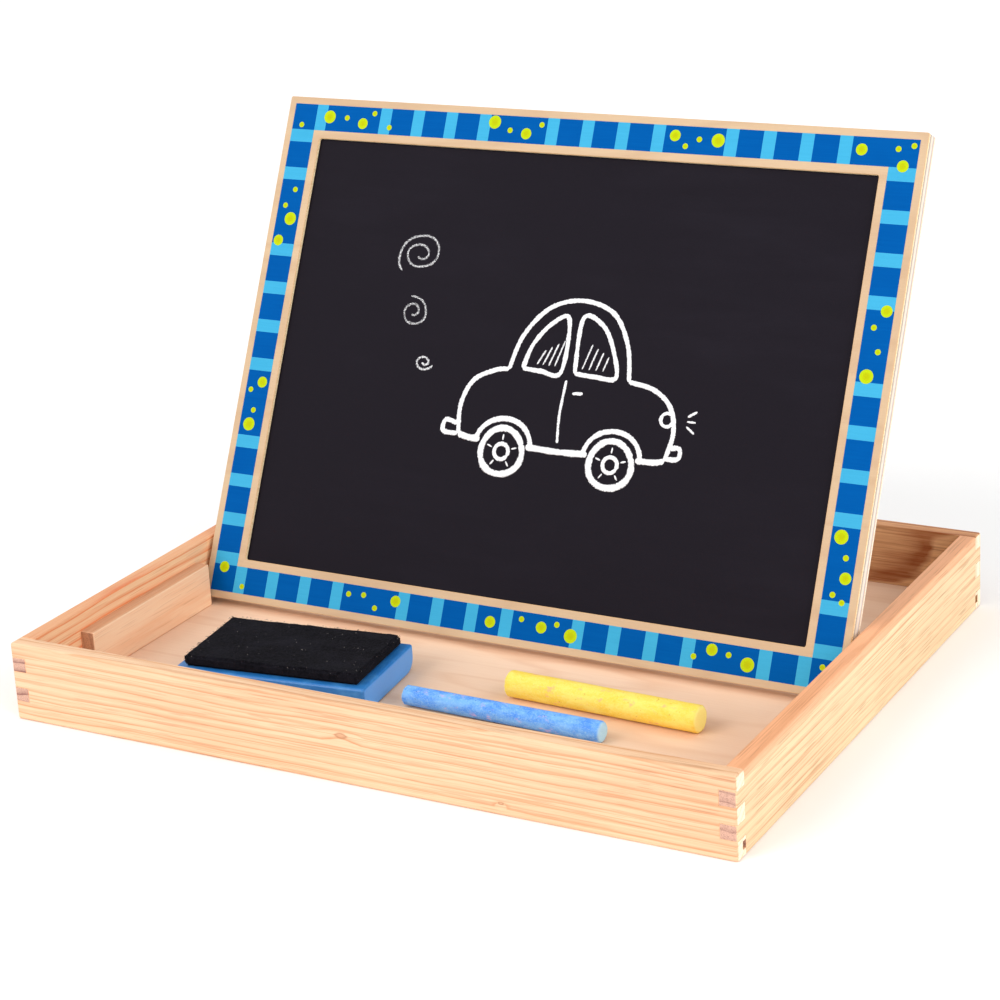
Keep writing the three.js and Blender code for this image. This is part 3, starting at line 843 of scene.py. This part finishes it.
def car_strokes():
    """A simple car of the kind a child draws, and the smoke it leaves. Each stroke is a path, a width and
    the share of the board that it covers."""
    strokes = []

    def draw(points, width, share=0.78):
        strokes.append((smooth_path(points), width * STROKE_WEIGHT, share))

    draw([(-36, 80), (-37, 92), (-33, 102), (-24, 107), (-18, 108)], 1.7)
    draw([(-18, 108), (-14, 122), (-4, 134), (10, 138), (24, 134), (32, 122), (35, 108)], 1.6)
    draw([(35, 108), (46, 106), (54, 100), (57, 90), (55, 79)], 1.7)
    draw([(-36, 80), (-31, 79), (-26, 79)], 2.2)
    draw([(-5, 78), (8, 77.5), (22, 78)], 2.2)
    draw([(43, 78), (50, 78), (55, 79)], 2.2)
    draw([(-12, 109), (-9, 119), (-2, 128), (5, 130), (5, 109), (-4, 108.5), (-12, 109)], 1.6)
    draw([(11, 109), (11, 131), (20, 129), (26, 120), (29, 109), (20, 108.5), (11, 109)], 1.6)
    for step in range(4):
        draw([(-6 + 2.6 * step, 111), (-3 + 2.6 * step, 117 + 1.5 * step)], 0.8, 0.58)
        draw([(14 + 3 * step, 111), (17 + 2.6 * step, 121 - 1.4 * step)], 0.8, 0.58)
    draw([(8, 106), (7.4, 92), (8.4, 81)], 1.1, 0.68)
    draw([(11.5, 101), (16, 101.4)], 1.3, 0.7)
    for centre in (-15.5, 32.5):
        draw(arc(centre, 76, 12.4, 8, 172, wobble=0.02), 1.8)
        draw(arc(centre, 75, 9.2, 20, 385, wobble=0.02), 2.3)
        draw(arc(centre, 75, 3.1, -30, 335, steps=16), 1.5)
        for spoke in range(5):
            angle = math.radians(18 + 72 * spoke)
            draw([(centre + 4.6 * math.cos(angle), 75 + 4.6 * math.sin(angle)),
                  (centre + 6.9 * math.cos(angle), 75 + 6.9 * math.sin(angle))], 0.9, 0.66)
    draw(arc(53.5, 95, 2.6, 40, 400, steps=16), 1.3)
    draw([(56, 84), (60.5, 84.5), (60.5, 80.5), (55, 80)], 1.7)
    draw([(-37, 84), (-42.5, 85), (-43, 80.5), (-36.5, 80)], 1.7)
    for rise, drop in ((1.0, 3.4), (-0.2, 0.4), (-1.4, -2.8)):
        draw([(62, 95 + drop * 0.6), (65.6, 95 + drop + rise)], 0.9, 0.7)
    draw(spiral(-57, 107, 4.2, 1.4, start=200), 1.15, 0.52)
    draw(spiral(-66, 127, 7.4, 1.6, steps=44, start=250), 1.2, 0.48)
    draw(spiral(-67, 151, 10.6, 2.0, steps=60, start=230), 1.25, 0.48)
    return strokes


def make_drawing(matrix):
    """The chalk lines stand on the chalkboard's face, in the board's own plane."""
    low, _ = in_axes("chalkboard_sheet", matrix)
    bm = bmesh.new()
    for key in ("across", "cover"):
        bm.verts.layers.float.new(key)
    layers = [bm.verts.layers.float[key] for key in ("across", "cover")]
    for stroke in car_strokes():
        add_stroke(bm, layers, *stroke)
    bm.transform(Matrix.Translation((0, low.y, 0)))
    look_outward(bm, -1)
    marks = chalk_marks("chalk_marks")
    piece = add_piece(bm, "chalk_drawing", "board", "chalkboard_paint", [marks], matrix, sharp_angle=80)
    thick = piece.modifiers.new("chalk", "SOLIDIFY")
    thick.thickness = STROKE_THICKNESS * MM
    thick.offset = -1.0


# ---------------------------------------------------------------- eraser

def eraser_matrix():
    """The eraser's axes: its long side is X. Its turn is read from the end face of the CAD block."""
    end = max(frame["nodes"]["eraser_block"].data.polygons, key=lambda face: face.normal.x).normal
    turn = Matrix.Rotation(math.atan2(end.y, end.x), 4, "Z")
    low, high = in_axes("eraser_block", turn)
    centre = turn @ Vector(((low.x + high.x) / 2, (low.y + high.y) / 2, low.z))
    return Matrix.Translation(centre) @ turn


def block_outline(width, height, belly, soft, steps=10):
    """The block's section: flat top with soft corners, rounded belly, flat underneath."""
    half = width / 2
    corners = (
        (half - belly, belly, belly, -90), (half - soft, height - soft, soft, 0),
        (soft - half, height - soft, soft, 90), (belly - half, belly, belly, 180),
    )
    outline = []
    for y, z, radius, start in corners:
        for index in range(steps + 1):
            angle = math.radians(start + 90 * index / steps)
            outline.append((y + radius * math.cos(angle), z + radius * math.sin(angle)))
    return outline


def make_eraser_block(matrix):
    low, high = in_axes("eraser_block", matrix)
    outline = block_outline(high.y - low.y, high.z - low.z, belly=6 * MM, soft=1.2 * MM)
    bm = bmesh.new()
    bridge(bm, [[bm.verts.new((x, y, z)) for y, z in outline] for x in (low.x, high.x)], capped=True)
    bmesh.ops.remove_doubles(bm, verts=bm.verts, dist=WELD)
    bmesh.ops.recalc_face_normals(bm, faces=bm.faces)
    paint = eraser_paint("eraser_paint")
    piece = add_piece(bm, "eraser_grip", "eraser", "blue_paint", [paint], matrix)
    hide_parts("eraser_block")
    soften(piece, BLOCK_SOFTENING, 4)


def make_felt(matrix):
    """A pad of pressed felt: a fine mesh whose top undulates and whose cut edges are ragged."""
    low, high = in_axes("eraser_felt", matrix)
    size = high - low
    centre = (low + high) / 2
    bm = bmesh.new()
    bmesh.ops.create_cube(bm, size=1.0)
    bm.transform(Matrix.Translation(centre) @ Matrix.Diagonal((*size, 1.0)))
    bmesh.ops.bevel(bm, geom=bm.edges[:], offset=FELT_CORNER, segments=3, affect="EDGES")
    for axis, step in enumerate((FELT_STEP, FELT_STEP, FELT_LAYER)):
        cuts = int(size[axis] / step)
        for index in range(1, cuts):
            point = low.copy()
            point[axis] += size[axis] * index / cuts
            bmesh.ops.bisect_plane(
                bm, geom=bm.verts[:] + bm.edges[:] + bm.faces[:], plane_co=point, plane_no=unit(axis))
    for vert in bm.verts:
        place = vert.co / MM
        lift = noise.fractal(place * 0.16, 1.0, 2.0, 4) * 0.3 + noise.noise(place * 1.1) * 0.12
        ragged = noise.fractal(place * 0.5 + Vector((7, 3, 1)), 0.9, 2.1, 5) * 0.5
        height_share = (vert.co.z - low.z) / size.z
        vert.co.z += lift * MM * height_share
        for axis in (0, 1):
            rim = max(0.0, abs(vert.co[axis] - centre[axis]) - size[axis] / 2 + FELT_RIM) / FELT_RIM
            vert.co[axis] += ragged * MM * rim * height_share
    piece = add_piece(bm, "felt_pad", "eraser", "black_felt", [felt("felt")], matrix, sharp_angle=180)
    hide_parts("eraser_felt")
    return low, high


def add_fibre(bm, place, along, rise, radius):
    """One fibre: a thin three-sided tube that arches off the felt."""
    side = Vector((-along.y, along.x, 0)).normalized() * radius
    crest = Vector((0, 0, radius * 1.7))
    rings = []
    for point in (place - along * 0.5, place + Vector((0, 0, rise)), place + along * 0.5):
        rings.append([bm.verts.new(point + shift) for shift in (side, -side, crest)])
    bridge(bm, rings, capped=True)


def make_lint(matrix, low, high):
    """Dark loose fibres on the felt's top and round its cut edges, and pale lint caught in it."""
    rng = random.Random(11)
    dark = fibre_tone("dark_fibre", srgb(18, 18, 24), srgb(50, 48, 56))
    pale = fibre_tone("pale_lint", srgb(58, 56, 60), srgb(140, 134, 132))
    # Name, how many, lengths and radii in millimetres, the share at the edges, and the material.
    for name, count, lengths, radii, edge_share, material in (
        ("felt_fibres", 1100, (0.5, 1.3), (0.03, 0.06), 0.5, dark),
        ("felt_lint", 90, (0.3, 0.8), (0.05, 0.09), 0.4, pale),
    ):
        bm = bmesh.new()
        for _ in range(count):
            place = Vector((rng.uniform(low.x, high.x), rng.uniform(low.y, high.y), high.z))
            if rng.random() < edge_share:
                axis = 1 if rng.random() < LONG_RIM_SHARE else 0
                place[axis] = rng.choice((low[axis] + FIBRE_INSET, high[axis] - FIBRE_INSET))
                place.z = rng.uniform(low.z + FIBRE_FOOT, high.z)
            angle = rng.uniform(0, 2 * math.pi)
            along = Vector((math.cos(angle), math.sin(angle), 0)) * rng.uniform(*lengths) * MM
            add_fibre(bm, place, along, rng.uniform(0.1, 0.4) * MM, rng.uniform(*radii) * MM)
        bmesh.ops.recalc_face_normals(bm, faces=bm.faces)
        add_piece(bm, name, "eraser", "black_felt", [material], matrix)


# ---------------------------------------------------------------- chalk sticks

def make_chalk(node, body, material, seed):
    """A moulded stick along its own X: tapered, slightly uneven, with softened and chipped ends."""
    corners = [v.co for v in frame["nodes"][node].data.vertices]
    low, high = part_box(node)
    left = [p for p in corners if p.x < low.x + END_SLICE]
    right = [p for p in corners if p.x > high.x - END_SLICE]
    length = sum(right, Vector()) / len(right) - sum(left, Vector()) / len(left)
    turn = Matrix.Rotation(math.atan2(length.y, length.x), 4, "Z")
    low, high = in_axes(node, turn)
    matrix = Matrix.Translation(turn @ ((low + high) / 2)) @ turn
    inverse = matrix.inverted()
    points = [inverse @ p for p in corners]
    half = max(p.x for p in points)
    thick = max(math.hypot(p.y, p.z) for p in points)
    thin = max(math.hypot(p.y, p.z) for p in points if p.x < TIP_SLICE - half)
    soft = CHALK_SOFTENING
    tip = ((0.0, 1.6), (0.15, 0.7), (1.0, 0.0))
    stations = [(soft * along - half, thin - soft * inwards) for along, inwards in tip]
    for index in range(1, CHALK_RINGS):
        share = index / CHALK_RINGS
        stations.append((-half + soft + (2 * half - 2 * soft) * share, thin + (thick - thin) * share))
    stations += [(half - soft * along, thick - soft * inwards) for along, inwards in reversed(tip)]
    bm = bmesh.new()
    rings = []
    for x, radius in stations:
        ring = []
        for index in range(CHALK_SIDES):
            angle = 2 * math.pi * index / CHALK_SIDES
            place = Vector((x / MM * 0.16, math.cos(angle) * 1.3, math.sin(angle) * 1.3 + seed))
            dent = noise.fractal(place, 0.8, 2.0, 5) * 0.09
            end = max(0.0, abs(x) - half + CHIPPED) / CHIPPED
            chip = max(0.0, noise.fractal(place * 2.3, 0.9, 2.0, 3)) * 0.6 * end ** 2
            reach = radius + (min(dent, 0.0) - chip) * MM
            ring.append(bm.verts.new((x, reach * math.cos(angle), reach * math.sin(angle))))
        rings.append(ring)
    bridge(bm, rings)
    for ring, x in ((rings[0], -half), (rings[-1], half)):
        fan(bm, bm.verts.new((x, 0, 0)), ring)
    bmesh.ops.recalc_face_normals(bm, faces=bm.faces)
    piece = add_piece(bm, body, body, node, [material], matrix, sharp_angle=50)
    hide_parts(node)


# ---------------------------------------------------------------- stage

def make_stage():
    bm = bmesh.new()
    bmesh.ops.create_grid(bm, x_segments=1, y_segments=1, size=20.0)
    floor = add_object("studio_floor", mesh_from(bm, "studio_floor"))
    paper = Paint("studio_paper")
    tone = paper.noise(0.002, detail=1.0)
    floor.data.materials.append(paper.finish(
        paper.mix(tone, srgb(250, 250, 250), srgb(254, 254, 254)), 0.9, specular=0.1))


def add_lamp(light, direction, place=(0, 0, 0)):
    lamp = add_object(light.name, light)
    lamp.location = place
    lamp.rotation_euler = Vector(direction).to_track_quat("-Z", "Y").to_euler()


def make_lights():
    """A white room, a broad soft sun from the front left, and a fill from the right."""
    world = bpy.data.worlds.new("studio")
    world.use_nodes = True
    nodes, links = world.node_tree.nodes, world.node_tree.links
    backdrop = nodes["Background"]
    backdrop.inputs["Color"].default_value = (1.0, 1.0, 1.0, 1.0)
    height = nodes.new("ShaderNodeSeparateXYZ")
    links.new(nodes.new("ShaderNodeTexCoord").outputs["Generated"], height.inputs[0])
    glow = nodes.new("ShaderNodeMapRange")
    for index, value in enumerate((HORIZON_TOP, SKY_START, HORIZON_GLOW, SKY_GLOW), start=1):
        glow.inputs[index].default_value = value
    links.new(height.outputs["Z"], glow.inputs[0])
    links.new(glow.outputs[0], backdrop.inputs["Strength"])
    bpy.context.scene.world = world
    key = bpy.data.lights.new("key", "SUN")
    key.angle = math.radians(35)
    key.energy = 1.42
    key.color = (1.0, 0.985, 0.96)
    add_lamp(key, (0.5, 0.8, -0.62))
    fill = bpy.data.lights.new("fill", "AREA")
    fill.size = 2.4
    fill.energy = 50
    fill.color = (1.0, 0.99, 0.97)
    add_lamp(fill, (-3.0, 1.0, -1.55), (3.0, -1.0, 1.6))


def make_camera():
    camera = bpy.data.cameras.new("camera")
    camera.lens = CAMERA_LENS
    camera.shift_y = CAMERA_SHIFT_Y
    camera.clip_start = 0.01
    lens = add_object("camera", camera)
    turn = (
        Matrix.Rotation(CAMERA_AZIMUTH, 4, "Z")
        @ Matrix.Rotation(math.pi / 2 - CAMERA_PITCH, 4, "X")
        @ Matrix.Rotation(CAMERA_ROLL, 4, "Z"))
    lens.matrix_world = Matrix.Translation(CAMERA_PLACE) @ turn
    bpy.context.scene.camera = lens


make_camera()
make_tray()
BOARD = board_matrix()
make_board(BOARD)
make_drawing(BOARD)
ERASER = eraser_matrix()
make_eraser_block(ERASER)
make_lint(ERASER, *make_felt(ERASER))
make_chalk("blue_chalk", "blue_chalk_stick", chalk_powder(
    "blue_chalk_powder", srgb(124, 186, 255), srgb(84, 150, 246), srgb(178, 222, 255),
    srgb(188, 232, 255), srgb(204, 182, 232), 3.0), 1.0)
make_chalk("yellow_chalk", "yellow_chalk_stick", chalk_powder(
    "yellow_chalk_powder", srgb(255, 228, 112), srgb(252, 216, 84), srgb(255, 236, 146),
    srgb(255, 248, 150), srgb(246, 182, 142), 8.0), 5.0)
make_stage()
make_lights()

bpy.context.scene.view_settings.view_transform = "Standard"
